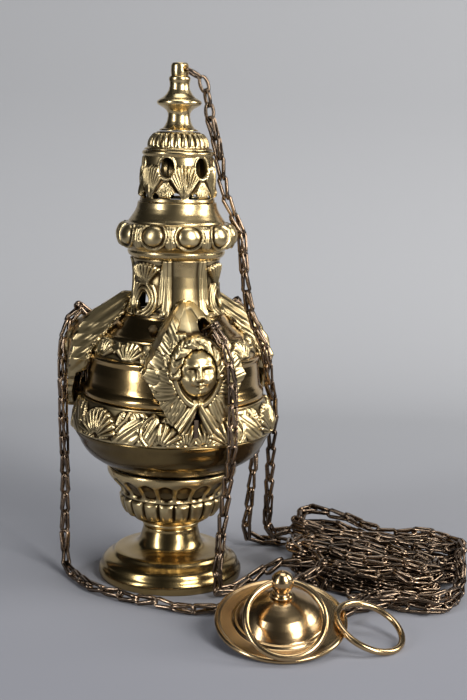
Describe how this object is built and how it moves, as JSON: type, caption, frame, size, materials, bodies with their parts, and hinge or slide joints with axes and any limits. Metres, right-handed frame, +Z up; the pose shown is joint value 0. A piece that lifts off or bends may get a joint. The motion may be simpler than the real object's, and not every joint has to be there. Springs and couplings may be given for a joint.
{
  "type": "censer",
  "caption": "Brass censer with a cherub-masked pierced lid, a fire pan, and chains that run from bowl and finial to a hand disc with a swivelling ring.",
  "frame": {"origin": "centre of the foot's underside, on the surface that the censer stands on", "axes": "+Z up along the censer's axis; -Y is the way that the front mask faces"},
  "size_m": [0.2094, 0.1853, 0.2654],
  "materials": {
    "polished_brass": "polished",
    "cast_brass": "satin, darker in the recesses",
    "dark_brass": "dull",
    "chain_brass": "oxidised"
  },
  "bodies": {
    "bowl": {"foot": "polished_brass", "foot_plate": "dark_brass", "stem_ring": "cast_brass", "cup": "cast_brass", "bowl": "cast_brass", "bowl_bolt": "dark_brass", "bowl_washer": "dark_brass", "bowl_nut": "dark_brass", "chain_lug_front": "dark_brass", "chain_lug_left": "dark_brass", "chain_lug_right": "dark_brass", "chain_a_drop": "chain_brass", "chain_b_drop": "chain_brass", "chain_c_drop": "chain_brass", "chain_d_drop": "chain_brass", "chain_a_pile": "chain_brass", "chain_b_pile": "chain_brass", "chain_c_pile": "chain_brass", "chain_d_pile": "chain_brass", "chain_a_end": "chain_brass", "chain_b_end": "chain_brass", "chain_c_end": "chain_brass", "chain_d_end": "chain_brass"},
    "lid": {"dome": "cast_brass", "neck": "cast_brass", "torus_band": "cast_brass", "lantern": "cast_brass", "cap": "cast_brass", "finial": "polished_brass", "finial_washer": "dark_brass", "finial_nut": "dark_brass", "mask_front": "cast_brass", "mask_left": "cast_brass", "mask_right": "cast_brass", "mask_front_rivet_1": "polished_brass", "mask_front_rivet_2": "polished_brass", "mask_left_rivet_1": "polished_brass", "mask_left_rivet_2": "polished_brass", "mask_right_rivet_1": "polished_brass", "mask_right_rivet_2": "polished_brass", "chain_a_fall": "chain_brass", "chain_b_fall": "chain_brass", "chain_c_fall": "chain_brass", "chain_d_fall": "chain_brass"},
    "fire_pan": {"fire_pan": "dark_brass"},
    "hand_disc": {"hand_disc": "polished_brass", "knob": "polished_brass", "knob_nut": "dark_brass", "disc_eye_back": "dark_brass", "disc_eye_left": "dark_brass", "disc_eye_right": "dark_brass"},
    "hand_ring": {"hand_ring": "polished_brass"},
    "pull_ring": {"pull_ring": "polished_brass"}
  },
  "joints": [
    {"name": "lid_lift", "type": "slide", "parent": "bowl", "child": "lid", "axis": [0, 0, 1], "range_m": [0, 0.1]},
    {"name": "fire_pan_lift", "type": "slide", "parent": "bowl", "child": "fire_pan", "axis": [0, 0, 1], "range_m": [0, 0.018]},
    {"name": "hand_disc_lift", "type": "slide", "parent": "bowl", "child": "hand_disc", "axis": [0, 0, 1], "range_m": [0, 0.04]},
    {"name": "hand_ring_swing", "type": "hinge", "parent": "hand_disc", "child": "hand_ring", "pos_m": [0.02896, -0.10763, 0.03062], "axis": [-0.9845, 0.1721, -0.0345], "range_deg": [0, 230]},
    {"name": "pull_ring_swing", "type": "hinge", "parent": "hand_disc", "child": "pull_ring", "pos_m": [0.0627, -0.1012, 0.0152], "axis": [-0.8718, -0.4899, 0], "range_deg": [0, 90]}
  ]
}
